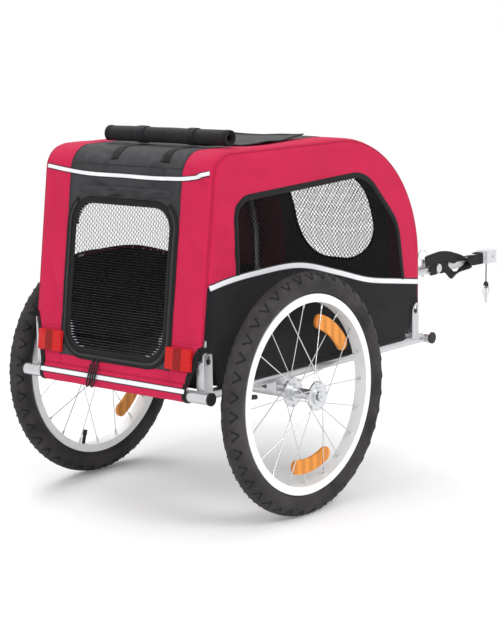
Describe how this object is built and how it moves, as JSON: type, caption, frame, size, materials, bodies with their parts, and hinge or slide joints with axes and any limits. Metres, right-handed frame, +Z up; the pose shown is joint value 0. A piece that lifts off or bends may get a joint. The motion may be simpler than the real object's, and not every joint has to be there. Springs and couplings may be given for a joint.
{
  "type": "dog bike trailer",
  "caption": "Two-wheeled dog trailer for a bicycle: net-windowed cloth cabin on a folding tube frame with spoked wheels and a drawbar with a hitch.",
  "frame": {"origin": "on the floor under the middle of the whole trailer's outline", "axes": "+X ahead along the drawbar, +Y to the trailer's left, +Z up"},
  "size_m": [1.5632, 0.701, 0.8043],
  "materials": {
    "tyre_rubber": "matte",
    "tube_rubber": "matte",
    "rim_silver": "satin",
    "spoke_steel": "polished",
    "hub_metal": "satin",
    "amber_reflector": "gloss",
    "axle_steel": "satin",
    "red_cloth": "woven",
    "frame_silver": "satin",
    "black_plastic": "satin",
    "floor_board": "matte",
    "black_cloth": "woven",
    "net_cloth": "open mesh",
    "reflective_cloth": "reflective tape",
    "red_reflector": "gloss",
    "strap_webbing": "webbing"
  },
  "bodies": {
    "base": {"rear_cross_tube": "frame_silver", "tube_end_caps": "black_plastic", "right_side_tube": "frame_silver", "left_side_tube": "frame_silver", "axle_tube": "frame_silver", "axle_sockets": "axle_steel", "front_cross_tube": "frame_silver", "middle_cross_tube": "frame_silver", "floor_panel": "floor_board", "right_rear_bracket": "frame_silver", "right_front_bracket": "frame_silver", "left_rear_bracket": "frame_silver", "left_front_bracket": "frame_silver", "right_axle": "axle_steel", "left_axle": "axle_steel", "right_side_panel": "red_cloth", "left_side_panel": "red_cloth", "lower_side_panels": "black_cloth", "window_nets": "net_cloth", "centre_rear_panel": "black_cloth", "centre_roof_panel": "black_cloth", "centre_front_panel": "black_cloth", "rear_hem": "red_cloth", "reflective_strips": "reflective_cloth", "rear_reflectors": "red_reflector", "cover_roll": "black_cloth", "roll_tabs": "black_cloth"},
    "right_wheel": {"right_tyre": "tyre_rubber", "right_inner_tube": "tube_rubber", "right_rim": "rim_silver", "right_hub": "hub_metal", "right_spokes": "spoke_steel", "right_wheel_reflectors": "amber_reflector"},
    "right_axle_button": {"right_axle_button": "axle_steel"},
    "right_hoop": {"right_hoop": "frame_silver"},
    "right_rear_lock_button": {"right_rear_lock_button": "black_plastic"},
    "right_front_lock_button": {"right_front_lock_button": "black_plastic"},
    "left_wheel": {"left_tyre": "tyre_rubber", "left_inner_tube": "tube_rubber", "left_rim": "rim_silver", "left_hub": "hub_metal", "left_spokes": "spoke_steel", "left_wheel_reflectors": "amber_reflector"},
    "left_axle_button": {"left_axle_button": "axle_steel"},
    "left_hoop": {"left_hoop": "frame_silver"},
    "left_rear_lock_button": {"left_rear_lock_button": "black_plastic"},
    "left_front_lock_button": {"left_front_lock_button": "black_plastic"},
    "drawbar_knob": {"drawbar_knob": "black_plastic"},
    "rear_door": {"rear_door": "net_cloth"},
    "zip_slider_one": {"zip_slider_one": "black_plastic"},
    "zip_slider_two": {"zip_slider_two": "black_plastic"},
    "roof_flap": {"roof_flap": "black_cloth"},
    "ring_pin": {"ring_pin": "axle_steel"},
    "drawbar": {"drawbar_tube": "frame_silver", "hitch_yoke": "frame_silver", "hitch_bolt": "axle_steel"},
    "hitch_arm": {"hitch_arm": "axle_steel", "safety_strap": "strap_webbing", "lanyard": "strap_webbing", "linch_pin": "axle_steel"}
  },
  "joints": [
    {"name": "right_wheel_spin", "type": "hinge", "parent": "base", "child": "right_wheel", "pos_m": [-0.5104, -0.304, 0.254], "axis": [0, 1, 0], "continuous": true},
    {"name": "left_wheel_spin", "type": "hinge", "parent": "base", "child": "left_wheel", "pos_m": [-0.5104, 0.304, 0.254], "axis": [0, 1, 0], "continuous": true},
    {"name": "right_axle_button_press", "type": "slide", "parent": "base", "child": "right_axle_button", "axis": [0, 1, 0], "range_m": [0, 0.004], "stiffness_N_per_m": 700},
    {"name": "left_axle_button_press", "type": "slide", "parent": "base", "child": "left_axle_button", "axis": [0, -1, 0], "range_m": [0, 0.004], "stiffness_N_per_m": 700},
    {"name": "right_hoop_fold", "type": "hinge", "parent": "base", "child": "right_hoop", "pos_m": [-0.0204, -0.229, 0.342], "axis": [1, 0, 0], "range_deg": [-90, 0]},
    {"name": "right_rear_lock_press", "type": "slide", "parent": "right_hoop", "child": "right_rear_lock_button", "axis": [0, 1, 0], "range_m": [0, 0.005], "stiffness_N_per_m": 700},
    {"name": "right_front_lock_press", "type": "slide", "parent": "right_hoop", "child": "right_front_lock_button", "axis": [0, 1, 0], "range_m": [0, 0.005], "stiffness_N_per_m": 700},
    {"name": "left_hoop_fold", "type": "hinge", "parent": "base", "child": "left_hoop", "pos_m": [-0.0204, 0.229, 0.372], "axis": [-1, 0, 0], "range_deg": [-90, 0]},
    {"name": "left_rear_lock_press", "type": "slide", "parent": "left_hoop", "child": "left_rear_lock_button", "axis": [0, -1, 0], "range_m": [0, 0.005], "stiffness_N_per_m": 700},
    {"name": "left_front_lock_press", "type": "slide", "parent": "left_hoop", "child": "left_front_lock_button", "axis": [0, -1, 0], "range_m": [0, 0.005], "stiffness_N_per_m": 700},
    {"name": "drawbar_slide", "type": "slide", "parent": "base", "child": "drawbar", "axis": [1, 0, 0], "range_m": [0, 0.25]},
    {"name": "drawbar_knob_turn", "type": "hinge", "parent": "base", "child": "drawbar_knob", "pos_m": [0.0296, 0.065, 0.23], "axis": [0, 0, 1], "range_deg": [0, 180]},
    {"name": "ring_pin_pull", "type": "slide", "parent": "drawbar", "child": "ring_pin", "axis": [0, 0, 1], "range_m": [0, 0.036]},
    {"name": "hitch_arm_pitch", "type": "hinge", "parent": "drawbar", "child": "hitch_arm", "pos_m": [0.5016, 0.065, 0.36], "axis": [0, 1, 0], "range_deg": [-25, 25]},
    {"name": "rear_door_swing", "type": "hinge", "parent": "base", "child": "rear_door", "pos_m": [-0.71713, 0, 0.6594], "axis": [0, 1, 0], "range_deg": [0, 100]},
    {"name": "zip_slider_one_slide", "type": "slide", "parent": "base", "child": "zip_slider_one", "axis": [0, 1, 0], "range_m": [0, 0.03]},
    {"name": "zip_slider_two_slide", "type": "slide", "parent": "base", "child": "zip_slider_two", "axis": [0, -1, 0], "range_m": [0, 0.125]},
    {"name": "roof_flap_lift", "type": "hinge", "parent": "base", "child": "roof_flap", "pos_m": [-0.5544, 0, 0.7624], "axis": [0, -1, 0], "range_deg": [0, 95]}
  ]
}
